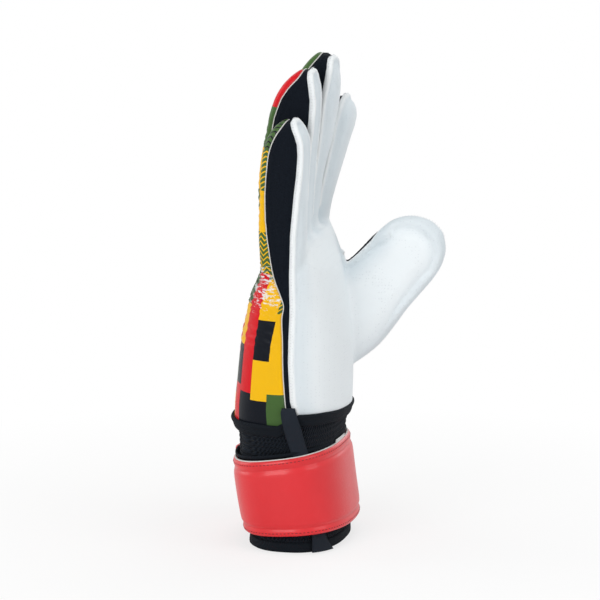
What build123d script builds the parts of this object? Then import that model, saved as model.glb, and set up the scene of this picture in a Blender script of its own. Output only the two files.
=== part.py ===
"""A right-hand goalkeeper glove, standing on the open end of its wrist cuff.

Millimetres. +Z points to the fingertips, +X out of the palm, +Y to the thumb side, and the origin is
the middle of the cuff's open end. The glove is a boxed shell: a latex palm, a printed backhand and a
narrow gusset round every finger between them, over a textile lining. Each digit bends at a crease
just above its crotch, and the tail of the wrist strap peels off its loop patch.
"""

import math
import os

from build123d import *

# ---- walls ----------------------------------------------------------------------------------------
WALL = 2.6  # latex or printed foam panel, with its backing
LINING = 0.8  # textile lining glued inside the panels
SHELL = WALL + LINING
GUSSET_SET_IN = 0.8  # how far the gusset cloth lies below the two panels
WEB = 2.2  # the web at the crotches, between palm and backhand
WEB_REACH = 40.0  # from the middle line to the web's two ends
CUFF_WALL = 1.6
BINDING = 0.9  # thickness of the bindings on the cuff's two ends
BINDING_WIDTH = 5.5

# ---- hand and cuff --------------------------------------------------------------------------------
CROTCH_Z = 186.0  # where the fingers part
SEAM_Z = 77.5  # the seam between hand and cuff, at the wrist's middle
SEAM_TILT = 6.3  # degrees that the seam rises towards the palm
SECTION_POINTS = 16  # points on a section's closed curve
HAND_POWER = 2.5  # squareness of a section: 2 is an ellipse
FINGER_POWER = 2.9
# Outer sections: height, centre x, half depth, half width.
HAND = [
    (62, -3.8, 32.6, 44.6),
    (84, -3.9, 33.4, 45.6),
    (104, -3.4, 33.0, 46.6),
    (124, -0.9, 29.4, 47.0),
    (144, 1.5, 23.8, 47.2),
    (164, 1.4, 19.8, 47.4),
    (CROTCH_Z, -1.8, 15.2, 47.0),
]
CUFF = [
    (0, 0.0, 28.8, 39.8),
    (15, 1.5, 26.6, 39.4),
    (34, -1.0, 27.0, 40.0),
    (54, -3.6, 28.4, 41.4),
    (70, -3.9, 31.6, 44.0),
    (86, -3.9, 33.4, 45.6),
]

# ---- digits ---------------------------------------------------------------------------------------
# Base (x, y) at the crotch, tip (x, y, z), curl power, half depth, half width.
FINGERS = {
    "little": ((0.4, -35.0), (6.4, -38.6, 253.5), 2.4, 13.3, 11.3),
    "ring": ((-3.6, -11.7), (8.0, -13.6, 280.5), 2.6, 15.0, 11.4),
    "middle": ((-5.0, 11.9), (13.0, 13.6, 286.0), 1.5, 14.8, 11.5),
    "index": ((-3.2, 35.2), (18.5, 38.8, 257.0), 1.4, 13.4, 11.4),
}
FINGER_TIP = 14.0  # length of the rounded fingertip
FINGER_SLIM = 0.1  # share by which a finger narrows towards its tip
THUMB_ROOT = Vector(2.9, 32.4, 109.2)
THUMB_TIP = Vector(73.5, 35, 178.5)
# Share of the thumb's length, half width across its palm face, half depth.
THUMB = [
    (0.0, 23.0, 11.6),
    (0.14, 25.6, 13.2),
    (0.28, 26.2, 13.6),
    (0.43, 24.2, 13.4),
    (0.58, 21.8, 12.8),
    (0.72, 20.0, 12.2),
    (0.84, 17.6, 11.0),
    (0.93, 13.2, 8.6),
    (0.99, 5.6, 3.8),
]
THUMB_POWER = 2.6

# ---- creases --------------------------------------------------------------------------------------
FLEX = 60.0  # degrees that a finger bends
THUMB_FLEX = 40.0
CREASE_DEPTH = 2.0  # bend axis below the outer face of the latex
THUMB_CREASE = 0.424  # share of the thumb's length where it bends
THUMB_CLEAR = 25.0  # the palm is cleared for the thumb this far across from its middle line
CLEARANCE = 0.15  # from a crease to the body on each side
REACH = 60.0  # tool bodies reach this far past what they cut

# ---- gusset bands, seen from the side -------------------------------------------------------------
# Height, back edge x, front edge x.
ULNAR_BAND = [
    (60, 6.4, 11.0),
    (80, 4.6, 9.0),
    (95, 2.8, 5.8),
    (112, 2.2, 5.3),
    (130, 2.0, 6.2),
    (145, -1.6, 6.6),
    (162, -4.7, 7.0),
    (CROTCH_Z, -7.0, 7.6),
]
RADIAL_BAND = [
    (60, -3.0, 2.0),
    (80, -3.0, 2.0),
    (112, -3.4, 2.0),
    (145, -6.0, 3.4),
    (CROTCH_Z, -10.6, 4.0),
]
BAND_INSET = 5.0  # from a finger's front and back to its gusset
BAND_TIP = 1.2  # half width of the strip that runs over a fingertip
THUMB_BAND = (36.5, 40.5)  # the thumb's gusset lies between these y
THUMB_BACK_EDGE = 21.0  # the thumb's back panel runs into the hand this far across from its middle line

# ---- wrist strap, in layers out from the cuff -----------------------------------------------------
STRAP_MIDDLE = Vector(-1.0, 0, 34.5)
STRAP_TILT = 8.8
STRAP_WIDTH = 40.0
LABEL_LAYER = (0.0, 0.4)
TAB_LAYER = (0.0, 0.8)
LINING_LAYER = (0.0, 0.8)
BAND_LAYER = (0.8, 3.2)
EDGE_LAYER = (3.2, 3.8)
LOOP_LAYER = (3.2, 3.9)
HOOK_LAYER = (4.3, 5.0)
TAIL_LAYER = (5.0, 7.4)
TAIL_EDGE_LAYER = (7.4, 8.0)
LINING_RISE = 2.0  # the strap's lining shows above its top edge
EDGE_WIDTH = 3.0
PATCH_MARGIN = 5.0  # from the strap's edges to its hook and loop patches
# Angles round the wrist, from the palm towards the thumb side.
TAIL_TIP = 88.0
TAIL_ROOT = 150.0
RAMP_END = 196.0
PATCH_SPAN = (93.0, 143.0)
LOOP_SPAN = (80.0, 149.0)
RAMP_FOOT = Vector(-28.6, -9.5, 0)  # the ramp turns outwards here, from the band's layer to the tail's
RAMP_TURN = 9.6
TAIL_GAP = 0.3  # degrees between ramp and tail
EDGE_STOP = 3.0  # degrees short of the ramp, where the tail's rolled edges end, so that they clear it open
TAB_TOP = (-3.6, 5.0)  # x of the seam tab's two edges at the cuff seam
TAB_FOOT = (12.4, 20.4)  # and at the cuff's open end
LABEL_SPAN = (-38.0, -18.0)
LABEL_Z = (46.0, 63.0)


# ---- shapes ---------------------------------------------------------------------------------------
def section(plane, half_x, half_y, power):
    """A rounded-box section, drawn as one closed curve."""
    points = []
    for step in range(SECTION_POINTS):
        angle = 2 * math.pi * step / SECTION_POINTS
        c, s = math.cos(angle), math.sin(angle)
        x = math.copysign(abs(c) ** (2 / power), c) * half_x
        y = math.copysign(abs(s) ** (2 / power), s) * half_y
        points.append((x, y))
    return plane * make_face(Spline(points, periodic=True))


def level_loft(sections, grow, power=HAND_POWER):
    """A solid through level sections, each grown outwards."""
    return loft([section(Plane((x, 0, z)), a + grow, b + grow, power) for z, x, a, b in sections])


def spine(name, z):
    """Middle line of a finger, which curls to the palm towards its tip."""
    (x0, y0), (x1, y1, z1), curl, _, _ = FINGERS[name]
    share = (z - CROTCH_Z) / (z1 - CROTCH_Z)
    return x0 + (x1 - x0) * max(share, 0.0) ** curl, y0 + (y1 - y0) * share


def finger_section(name, z, inset, straight, shrink=1.0):
    """A finger's section at one height, inset by a wall."""
    _, _, _, depth, width = FINGERS[name]
    slim = 1 - FINGER_SLIM * max(0.0, (z - CROTCH_Z) / (straight - CROTCH_Z))
    half_x, half_y = depth * slim - inset, width * slim - inset
    return section(Plane((*spine(name, z), z)), half_x * shrink, half_y * shrink, FINGER_POWER)


def finger_solid(name, inset):
    """A finger from just inside the palm to its rounded tip, inset by a wall."""
    straight = FINGERS[name][1][2] - inset - FINGER_TIP
    start = CROTCH_Z - WEB - 2
    heights = [start + (straight - start) * level / 4 for level in range(5)]
    tube = [finger_section(name, z, inset, straight) for z in heights]
    tip = []
    for step in range(5):
        turn = math.radians(76) * step / 4
        z = straight + FINGER_TIP * math.sin(turn)
        tip.append(finger_section(name, z, inset, straight, math.cos(turn)))
    return loft(tube) + loft(tip)


def thumb_axis():
    return (THUMB_TIP - THUMB_ROOT).normalized()


def thumb_across():
    """Across the thumb, from its lower edge to the one that faces the index finger."""
    return Vector(0, -1, 0).cross(thumb_axis()).normalized()


def thumb_solid(inset):
    """The thumb, a flat paddle with its palm face to -Y, inset by a wall."""
    axis = thumb_axis()
    length = (THUMB_TIP - THUMB_ROOT).length
    faces = []
    for share, half_w, half_d in THUMB:
        centre = THUMB_ROOT + axis * (share * length - inset * share**4)
        plane = Plane(centre, x_dir=(0, 1, 0), z_dir=axis)
        thin = max(half_d - inset, half_d * 0.55)
        narrow = max(half_w - inset, half_w * 0.55)
        faces.append(section(plane, thin, narrow, THUMB_POWER))
    return loft(faces)


def crease_point(name):
    """A point on a digit's bend axis, just under the face of its latex."""
    if name == "thumb":
        middle = THUMB_ROOT + thumb_axis() * (THUMB_CREASE * (THUMB_TIP - THUMB_ROOT).length)
        return middle + Vector(0, -1, 0) * (THUMB[3][2] - CREASE_DEPTH)
    (x, y), _, _, depth, _ = FINGERS[name]
    return Vector(x + depth - CREASE_DEPTH, y, CROTCH_Z)


def crease_directions(name):
    """Out of the latex face, and along the digit."""
    if name == "thumb":
        return Vector(0, -1, 0), thumb_axis()
    return Vector(1, 0, 0), Vector(0, 0, 1)


def crease_tool(name, side):
    """What a crease cuts away on one side of it (1 above, -1 below), with a notch for the latex to fold."""
    out, along = crease_directions(name)
    flex, low = (THUMB_FLEX, 32.0) if name == "thumb" else (FLEX, FINGERS[name][4] + 0.6)
    high = THUMB_CLEAR if name == "thumb" and side > 0 else low
    face = CREASE_DEPTH + 4
    notch = CLEARANCE + face * math.tan(math.radians(flex / 2 + 1))
    outline = [
        (-REACH, -side * CLEARANCE),
        (0, -side * CLEARANCE),
        (face, -side * notch),
        (face, side * REACH),
        (-REACH, side * REACH),
    ]
    across = out.cross(along).normalized()
    plane = Plane(crease_point(name) - across * low, x_dir=out, z_dir=across)
    return extrude(plane * make_face(Polyline(*outline, close=True)), amount=low + high)


def side_band(rows, y_low, y_high):
    """A band between two edges drawn in the side view, reaching from one y to another."""
    back = Spline([(x, z) for z, x, _ in rows])
    front = Spline([(x, z) for z, _, x in rows])
    low = Line(back @ 0, front @ 0)
    high = Line(back @ 1, front @ 1)
    profile = make_face([back, high, front, low])
    plane = Plane((0, y_low, 0), x_dir=(1, 0, 0), z_dir=(0, -1, 0))
    return extrude(plane * profile, amount=-(y_high - y_low))


def finger_band(name):
    """The gusset band of a finger, which narrows to a strip over the fingertip."""
    _, (_, _, tip_z), _, depth, width = FINGERS[name]
    half = depth - BAND_INSET
    straight = tip_z - FINGER_TIP
    start = CROTCH_Z - 2
    rows = []
    for step in range(4):
        z = start + (straight - start) * step / 3
        x, _ = spine(name, z)
        rows.append((z, x - half, x + half))
    for share, back, front in ((0.5, 0.62, 0.8), (0.82, 0.22, 0.42)):
        z = straight + FINGER_TIP * share
        x, _ = spine(name, z)
        rows.append((z, x - half * back + 1, x + half * front + 1))
    x, y = spine(name, tip_z + 1)
    rows.append((tip_z + 1, x + 1 - BAND_TIP, x + 1 + BAND_TIP))
    return side_band(rows, y - width - 4, y + width + 4)


def thumb_back_side():
    """All that lies on the thumb's back, up to the edge of its back panel."""
    edge = THUMB_ROOT + thumb_across() * THUMB_BACK_EDGE
    plane = Plane((edge.X, THUMB_BAND[1], edge.Z), x_dir=thumb_axis(), z_dir=(0, 1, 0))
    return plane * Box(400, 2 * REACH, REACH, align=(Align.CENTER, Align.MIN, Align.MIN))


def seam_slab(low, high):
    """All that lies between two heights above the tilted seam between hand and cuff."""
    slab = Pos(0, 0, low) * Box(300, 300, high - low, align=(Align.CENTER, Align.CENTER, Align.MIN))
    return Pos(0, 0, SEAM_Z) * Rot(0, -SEAM_TILT, 0) * slab


def strap_slab(low, high):
    """All that lies between two heights in the strap's own tilted frame."""
    slab = Pos(0, 0, low) * Box(200, 200, high - low, align=(Align.CENTER, Align.CENTER, Align.MIN))
    return Pos(*STRAP_MIDDLE) * Rot(0, -STRAP_TILT, 0) * slab


def sector(first, last):
    """A wedge round the wrist between two angles."""
    steps = max(2, math.ceil((last - first) / 40))
    rim = [first + (last - first) * k / steps for k in range(steps + 1)]
    points = [(120 * math.cos(math.radians(a)), 120 * math.sin(math.radians(a))) for a in rim]
    wedge = extrude(make_face(Polyline((0, 0), *points, close=True)), amount=140)
    return Pos(STRAP_MIDDLE.X, 0, -20) * wedge


def sleeve(layer):
    """A sleeve round the cuff between two distances from its face."""
    return level_loft(CUFF, layer[1]) - level_loft(CUFF, layer[0])


def cut(shape, *tools):
    """Take the tools away one after another."""
    for tool in tools:
        shape = shape - tool
    return shape


def by_x(shape):
    return sorted(shape.solids(), key=lambda s: s.center().X)


# ---- the hand -------------------------------------------------------------------------------------
def hand_level(inset):
    """The hand with the thumb's root, inset by a wall and open at its two ends."""
    low = (HAND[0][0] - inset, *HAND[0][1:])
    high = (CROTCH_Z + inset, *HAND[-1][1:])
    return level_loft([low, *HAND[1:-1], high], -inset) + thumb_solid(inset)


def hand_parts():
    height = CROTCH_Z - CLEARANCE
    room = seam_slab(0, 220) & (Pos(0, 0, height / 2) * Box(300, 300, height))
    room = room - crease_tool("thumb", 1)
    outer = hand_level(0) & room
    inner = hand_level(WALL)
    ulnar = side_band(ULNAR_BAND, -REACH, 0)
    radial = side_band(RADIAL_BAND, 0, REACH)
    panels = by_x(cut(outer, inner, ulnar, radial))
    creases = [crease_tool(name, 1) for name in FINGERS]
    front = cut(panels[-1], *creases)
    thumb_back = thumb_back_side()
    cloth = level_loft(HAND, -GUSSET_SET_IN) & room
    web = Pos(0, 0, height - WEB / 2) * Box(200, 2 * WEB_REACH, WEB)
    web = level_loft(HAND, -SHELL) & web
    return {
        "palm_latex": front - thumb_back,
        "thumb_root_back": front & thumb_back,
        "backhand": panels[0],
        "ulnar_gusset": (cloth & ulnar) - inner,
        "radial_gusset": (cloth & radial) - inner,
        "crotch_web": cut(web, *[finger_solid(name, SHELL) for name in FINGERS], *creases),
        "hand_lining": cut(inner & room, hand_level(SHELL), *creases),
    }


# ---- the digits -----------------------------------------------------------------------------------
def finger_parts(name):
    below = crease_tool(name, -1)
    outer = finger_solid(name, 0) - below
    inner = finger_solid(name, WALL)
    band = finger_band(name)
    panels = by_x(cut(outer, inner, band))
    cloth = (finger_solid(name, GUSSET_SET_IN) - below) & band
    return {
        f"{name}_latex": panels[-1],
        f"{name}_back": panels[0],
        f"{name}_gusset": cloth - inner,
        f"{name}_lining": cut(inner, below, finger_solid(name, SHELL)),
    }


def thumb_parts():
    below = crease_tool("thumb", -1)
    inner = thumb_solid(WALL)
    shell = cut(thumb_solid(0), below, inner)
    front, back = THUMB_BAND
    latex_side = Pos(0, front - REACH, 0) * Box(300, 2 * REACH, 600)
    back_side = Pos(0, back + REACH, 0) * Box(300, 2 * REACH, 600)
    return {
        "thumb_latex": shell & latex_side,
        "thumb_back": shell & back_side,
        "thumb_gusset": cut(thumb_solid(GUSSET_SET_IN), below, inner, latex_side, back_side),
        "thumb_lining": cut(inner, below, thumb_solid(SHELL)),
    }


# ---- the cuff and its strap -----------------------------------------------------------------------
def tab_prism():
    """The strip that the seam tab runs in, down the little finger's side of the cuff."""
    (a, b), (c, d) = TAB_TOP, TAB_FOOT
    outline = Polyline((a, SEAM_Z + 10), (b, SEAM_Z + 10), (d, 0), (c, 0), close=True)
    return extrude(Plane.XZ * make_face(outline), amount=REACH)


def cuff_parts():
    room = Pos(0, 0, 60) * Box(300, 300, 120) - seam_slab(0, 220)
    tab = tab_prism()
    top_edge = seam_slab(-BINDING_WIDTH, 0)
    bottom_edge = Pos(0, 0, BINDING_WIDTH / 2) * Box(300, 300, BINDING_WIDTH)
    face = sleeve((0, BINDING))
    label_height = LABEL_Z[1] - LABEL_Z[0]
    label = Pos(0, 0, LABEL_Z[0] + label_height / 2) * Box(300, 300, label_height)
    label = label & sector(*LABEL_SPAN)
    return {
        "cuff": sleeve((-CUFF_WALL, 0)) & room,
        "cuff_top_binding": (face & top_edge) - tab,
        "cuff_bottom_binding": (face & bottom_edge) - tab,
        "seam_tab": sleeve(TAB_LAYER) & room & tab,
        "care_label": (sleeve(LABEL_LAYER) & label) - strap_slab(-REACH, STRAP_WIDTH / 2 + LINING_RISE),
    }


def strap_parts():
    half = STRAP_WIDTH / 2
    strap = strap_slab(-half, half)
    patch = strap_slab(-half + PATCH_MARGIN, half - PATCH_MARGIN)
    top_edge = strap_slab(half - EDGE_WIDTH, half)
    bottom_edge = strap_slab(-half, -half + EDGE_WIDTH)
    round_wrist = sector(RAMP_END - 360, TAIL_ROOT)
    ramp = sector(TAIL_ROOT, RAMP_END)
    tail = sector(TAIL_TIP, TAIL_ROOT - TAIL_GAP)
    rolled = sector(TAIL_TIP, TAIL_ROOT - EDGE_STOP)
    band = sleeve(BAND_LAYER)
    risen = Pos(*RAMP_FOOT) * Rot(0, 0, RAMP_TURN) * Pos(*-RAMP_FOOT) * band
    edge = sleeve(EDGE_LAYER)
    tail_edge = sleeve(TAIL_EDGE_LAYER)
    open_wrist = sector(RAMP_END - 360, TAIL_TIP - 10)
    return {
        "strap_lining": cut(sleeve(LINING_LAYER) & strap_slab(-half, half + LINING_RISE), tab_prism()),
        "strap_band": (band & round_wrist & strap) + (risen & ramp & strap),
        "strap_top_edge": edge & open_wrist & top_edge,
        "strap_bottom_edge": edge & open_wrist & bottom_edge,
        "loop_patch": sleeve(LOOP_LAYER) & sector(*LOOP_SPAN) & patch,
        "tail_band": sleeve(TAIL_LAYER) & tail & strap,
        "hook_patch": sleeve(HOOK_LAYER) & sector(*PATCH_SPAN) & patch,
        "tail_top_edge": tail_edge & rolled & top_edge,
        "tail_bottom_edge": tail_edge & rolled & bottom_edge,
    }


def main():
    os.makedirs("parts", exist_ok=True)
    parts = {**hand_parts(), **thumb_parts(), **cuff_parts(), **strap_parts()}
    for name in FINGERS:
        parts.update(finger_parts(name))
    for name, shape in parts.items():
        export_step(shape, f"parts/{name}.step")


if __name__ == "__main__":
    main()
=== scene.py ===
"""A right-hand goalkeeper glove, standing on the open end of its wrist cuff.

Shapes are worked out in millimetres, in the frame of the model, and become metres in make_piece.
+Z points to the fingertips, +X out of the palm and +Y to the thumb side.
"""

import math

import bpy
import numpy as np
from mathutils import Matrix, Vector
from mathutils.kdtree import KDTree


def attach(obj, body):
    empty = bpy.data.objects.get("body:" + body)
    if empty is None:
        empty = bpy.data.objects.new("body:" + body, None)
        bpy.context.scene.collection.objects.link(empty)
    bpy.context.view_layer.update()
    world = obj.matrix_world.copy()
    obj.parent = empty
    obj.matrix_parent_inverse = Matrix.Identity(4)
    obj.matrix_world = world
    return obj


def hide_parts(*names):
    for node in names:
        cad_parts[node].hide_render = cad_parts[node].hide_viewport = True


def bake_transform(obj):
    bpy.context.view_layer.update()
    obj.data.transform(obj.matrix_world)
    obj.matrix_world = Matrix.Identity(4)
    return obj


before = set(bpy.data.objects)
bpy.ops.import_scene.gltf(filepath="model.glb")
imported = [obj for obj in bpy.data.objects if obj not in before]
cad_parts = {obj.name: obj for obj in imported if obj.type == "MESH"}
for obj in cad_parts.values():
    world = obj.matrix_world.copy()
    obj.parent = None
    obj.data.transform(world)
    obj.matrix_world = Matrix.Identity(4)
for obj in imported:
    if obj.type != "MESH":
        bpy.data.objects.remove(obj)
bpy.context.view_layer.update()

# ---- sizes ----
VOXEL = 1.35  # grid on which the glove's one skin is first made
SKIN_SMOOTHING = 14  # rounds that even out the steps of that grid
STEP_BACK = 1.04  # each round takes this share of itself back, which keeps the volume
CROTCH_SOFT = (187, 9, 40)  # more smoothing between the fingers: height, its spread, half width
THENAR_SOFT = (30, 16, 30, 40)  # and at the thumb's root: distance along it, spreads along and across, most y
SOFT_ROUNDS = 12
WALL = 2.2  # thickness of a panel
SEAM_DIP = -0.7  # how deep the seams lie
SEAM_OVERLAP = 0.4  # the panels run this far down past the seam with the cuff
LINING_VOXEL, LINING_SMOOTHING = 2.6, 10
LINING_GAP, LINING_WALL = 1.0, 0.7  # the lining's distance from the panels, and its thickness
FINGERS = ("little", "ring", "middle", "index")
DIGITS = FINGERS + ("thumb",)
KINDS = ("latex", "print", "gusset")  # of panels

X_AXIS, Y_AXIS = np.eye(3)[:2]
# Rows of the hand: height, middle x, half depth, half width.
HAND_ROWS = [
    (58, -3.2, 30.4, 44.0), (84, -2.2, 31.6, 45.6), (98, -1.3, 30.9, 46.4), (111, -0.7, 30.1, 46.8),
    (124, -0.2, 28.8, 47.0), (134, 0.3, 26.9, 47.1), (144, 0.5, 24.8, 47.2), (152, 1.2, 22.8, 47.3),
    (158, 2.2, 20.6, 47.4), (164, 2.6, 18.6, 47.4), (172, 0.7, 17.1, 47.2), (181, -2.0, 15.8, 47.0),
]
HAND_POWER = 2.5  # sections are rounded boxes: 2 gives an ellipse, more is squarer
# Rows of a finger in side view: height, back x, front x. The last row is its tip.
FINGER_ROWS = {
    "little": [
        (160, -11.0, 12.2), (187, -12.7, 14.0), (206, -12.1, 14.6), (225, -10.8, 15.0),
        (236, -9.1, 15.2), (243, -6.6, 14.2), (248, -3.4, 11.8), (251, -0.2, 9.4), (252.8, 2.6, 7.8),
    ],
    "ring": [
        (160, -16.0, 10.0), (187, -18.2, 10.8), (216, -18.3, 11.8), (228, -16.9, 12.6), (241, -14.4, 13.8),
        (255, -11.4, 14.8), (264.5, -7.2, 14.8), (271, -2.2, 13.8), (275.8, 3.4, 12.4), (278, 6.8, 11.0),
    ],
    "middle": [
        (160, -17.0, 8.0), (187, -19.2, 8.6), (209, -18.8, 11.2), (222, -17.2, 14.2), (234, -14.8, 17.2),
        (249, -11.0, 19.8), (262, -6.2, 21.2), (269, -2.8, 21.2), (276, 1.8, 19.4), (280.6, 6.0, 16.6),
        (283, 9.2, 13.8),
    ],
    "index": [
        (160, -15.0, 8.0), (187, -15.8, 10.0), (200, -13.4, 13.0), (213, -10.2, 16.6), (229, -5.2, 21.2),
        (238, -1.8, 24.0), (245, 2.2, 24.8), (250, 8.0, 23.4), (252.8, 12.8, 20.8), (254.2, 15.2, 18.8),
    ],
}
# Across the palm: a finger's middle y at its root and at its tip.
FINGER_Y = {"little": (-36.0, -38.6), "ring": (-12.1, -13.6), "middle": (12.1, 13.6), "index": (36.0, 38.8)}
FINGER_HALF_WIDTH = 11.0
FINGER_SLIM = 0.06  # share of its width that a finger loses on its way to the tip
FINGER_FAN, FAN_HEIGHT = 0.075, 80  # the fingers spread by this share over this height
FINGER_POWER = 3.3
TIP_LENGTH = 12.0  # over which the width rounds off
CROTCH_Z = 186.0  # height of the ends of the gaps between the fingers
WEB_TOP = 189  # of the raised web in the middle gap
CREASE_START, CREASE_END = 194.0, 222.0  # a finger's skin turns from hand to finger between these heights

THUMB_ROOT = np.array((2.9, 32.4, 109.2))
THUMB_TIP = np.array((74.6, 35.0, 180.4))
THUMB_AXIS = (THUMB_TIP - THUMB_ROOT) / np.linalg.norm(THUMB_TIP - THUMB_ROOT)
THUMB_LENGTH = float(np.linalg.norm(THUMB_TIP - THUMB_ROOT))
THUMB_ACROSS = np.array((-THUMB_AXIS[2], 0.0, THUMB_AXIS[0])) / math.hypot(THUMB_AXIS[0], THUMB_AXIS[2])
# Share of the thumb's length, half width, half depth, shift across.
THUMB_ROWS = [
    (0.0, 22.5, 11.6, 0.0), (0.14, 25.0, 13.0, 0.0), (0.28, 25.2, 13.4, -0.6), (0.40, 23.2, 13.0, -1.0),
    (0.52, 21.4, 12.4, -0.6), (0.66, 20.8, 12.0, 0.4), (0.78, 20.0, 11.6, 1.0), (0.88, 17.0, 10.2, 1.0),
    (0.95, 11.6, 7.6, 0.6), (0.995, 4.4, 3.2, 0.2),
]
THUMB_POWER = 3.6
THUMB_CREASE = (49.0, 72.0)  # distance along the thumb where its skin turns with it
THUMB_REACH = 27.0  # nothing of the thumb lies further across from its middle line
THUMB_SEAMS = (35.0, 40.5)  # its gusset lies between these y
THUMB_ZONE = 25.0  # the thumb's panels end this far across from its middle line
THUMB_PRINT = (19, 8)  # its print reaches this far across at its root, and this much further beyond
THUMB_LEAN = (1.8, 6.8)  # its seams lie further back round its tip, and further forward along its upper edge
THUMB_PEEP = 1.1  # its cloth stands this much prouder along its upper edge, to show there

# Gusset edges seen from the side: height, back x, front x.
ULNAR_ROWS = [
    (58, 6.4, 11.0), (80, 4.2, 8.6), (90, 3.2, 6.2), (112, 2.2, 5.3), (126, 2.2, 5.6), (139, 1.6, 6.2),
    (143, 2.6, 6.3), (146, 3.0, 6.4), (149, 2.2, 6.3), (154, 0.2, 6.2), (160, -2.4, 6.2),
    (170, -4.8, 6.2), (187, -7.4, 6.6), (198, -8.2, 7.7), (210, -8.4, 8.9), (221, -7.6, 10.3),
    (233, -6.2, 11.3), (240, -4.0, 11.0), (245, -1.4, 9.4), (249, 1.2, 7.4), (253, 3.6, 5.8),
    (256, 4.4, 5.2),
]
RING_ROWS = [
    (58, -12, 6), (187, -13.6, 6.6), (230, -12.6, 9.2), (250, -9.2, 11.6), (261, -5.2, 12.2),
    (268, -0.4, 11.6), (274, 5.4, 10.4), (280, 8.2, 9.6),
]
MIDDLE_ROWS = [
    (58, -13, 5), (187, -14.6, 3.4), (209, -14.4, 5.6), (234, -10.6, 9.4), (250, -6.6, 11.2),
    (259.7, -3.2, 12.4), (264.4, -1.0, 13.6), (270.4, 2.0, 14.8), (276, 5.2, 15.6), (282, 10.2, 15.4),
    (287, 12.6, 15.0),
]
RADIAL_ROWS = [
    (58, -3.0, 2.0), (80, -3.0, 2.0), (112, -3.4, 2.0), (145, -6.0, 3.0), (187, -11.0, 3.0),
    (200, -9.6, 4.6), (213, -6.8, 7.4), (229, -2.0, 11.0), (241, 3.0, 13.4), (249, 8.2, 15.6),
    (255, 13.0, 17.0), (260, 15.8, 17.4),
]
SEAM_COLUMNS = np.array((-36.0, -12.1, 12.1, 36.0))  # y of these four tables
WEB_WRAP = 5.0  # the palm's latex wraps this far in over the webs between the fingers

# The seam between hand and cuff: angle round the wrist from the palm, height.
WRIST_SEAM = [
    (-180, 73.9), (-156, 73.8), (-106, 74.8), (-87, 74.3), (-72, 81.2), (-50, 80.6), (-30, 79.2),
    (14, 77.4), (60, 76.4), (120, 75.2), (180, 73.9),
]
WRIST_MIDDLE_X = -3.3

# Each kind of panel's relief: distance from the seam, height over the plain skin.
LATEX_EDGE = [
    (0, -0.9), (0.5, 0.2), (1.2, 1.1), (2.1, 1.55), (3.0, 1.35), (3.8, 0.3), (4.5, -0.55), (5.6, -0.7),
    (9.5, -0.55), (12.0, -0.2),
]
THUMB_EDGE = [
    (0, -0.7), (1.0, 0.2), (3.0, 0.8), (7.0, 1.0), (9.2, 1.2), (10.4, 1.0), (11.2, -0.9), (12.0, -1.6),
    (13.4, -0.8), (17.0, 0.0),
]
PRINT_EDGE = [(0, -0.7), (0.7, -0.1), (1.6, 0.35), (3.5, 0.6), (8, 0.7)]
GUSSET_EDGE = [(0, -0.7), (0.8, -0.3), (1.6, -0.75), (2.7, 0.0), (3.8, -0.5), (7, -0.3)]

# Folds of the printed back: height, spread, distance from fold to fold, depth.
FOLDS = [
    (127, 9, 6.0, 0.35), (146, 8, 4.2, 0.5), (163, 9, 3.3, 0.75), (205, 12, 5.0, 0.3), (236, 10, 4.4, 0.25),
]
SWELL = 0.25  # soft unevenness of every panel

SEAM_STEP = 0.4  # from mark to mark along a seam, where distances to it are measured
SHORTEST_SEAM = 5  # seams shorter than this get no piping and no stitches
PIPING_RADIUS, PIPING_RISE, PIPING_STEP = 0.33, 0.42, 1.2
STITCH_LENGTH = 1.5
STITCH_PITCH, STITCH_RADIUS, STITCH_AWAY = 1.7, 0.15, 1.5  # white ones, this far from the seam
RED_PITCH, RED_RADIUS = 2.3, 0.26  # of the strap's stitches
CLOTH_CORNER = 3  # this deep into a finger or the hand, the flat cloth of its back turns the corner
THUMB_CLOTH = (90, 40)  # the thumb's piece is cut this much further across and along the cloth


# ---- numbers to shapes ----
def resample(rows, step):
    """Rows at an even step of their first column, on a smooth curve through the given ones."""
    rows = np.array(rows, float)
    t = rows[:, 0]
    slopes = np.gradient(rows[:, 1:], t, axis=0)
    steps = np.append(np.arange(t[0], t[-1], step), t[-1])
    i = np.clip(np.searchsorted(t, steps, side="right") - 1, 0, len(t) - 2)
    h = (t[i + 1] - t[i])[:, None]
    s = (steps - t[i])[:, None] / h
    a, b = rows[i, 1:], rows[i + 1, 1:]
    curve = (1 + 2 * s) * (1 - s) ** 2 * a + s * (1 - s) ** 2 * h * slopes[i]
    curve += s**2 * (3 - 2 * s) * b + s**2 * (s - 1) * h * slopes[i + 1]
    return np.column_stack([steps, curve])


def ring(centre, u, v, half_u, half_v, power, count=64):
    """Points round a rounded-box section."""
    angle = np.arange(count) * 2 * math.pi / count
    c, s = np.cos(angle), np.sin(angle)
    a = np.sign(c) * np.abs(c) ** (2 / power) * half_u
    b = np.sign(s) * np.abs(s) ** (2 / power) * half_v
    return centre + a[:, None] * u + b[:, None] * v


def skin_rings(rings):
    """A closed mesh over a stack of rings."""
    count = len(rings[0])
    points = np.vstack([*rings, rings[0].mean(0), rings[-1].mean(0)])
    k = np.arange(count)
    k1 = (k + 1) % count
    faces = []
    for level in range(len(rings) - 1):
        a, b = level * count, (level + 1) * count
        faces += np.column_stack([a + k, a + k1, b + k1, b + k]).tolist()
    top = (len(rings) - 1) * count
    for p, q in zip(k.tolist(), k1.tolist()):
        faces += [(len(points) - 2, q, p), (len(points) - 1, top + p, top + q)]
    return points, faces


def join(shapes):
    """Several meshes as one."""
    points, faces, base = [], [], 0
    for p, f in shapes:
        points.append(p)
        faces += [tuple(int(i) + base for i in face) for face in f]
        base += len(p)
    return np.vstack(points), faces


def unit(v):
    return v / np.maximum(np.linalg.norm(v, axis=-1, keepdims=True), 1e-9)


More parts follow.
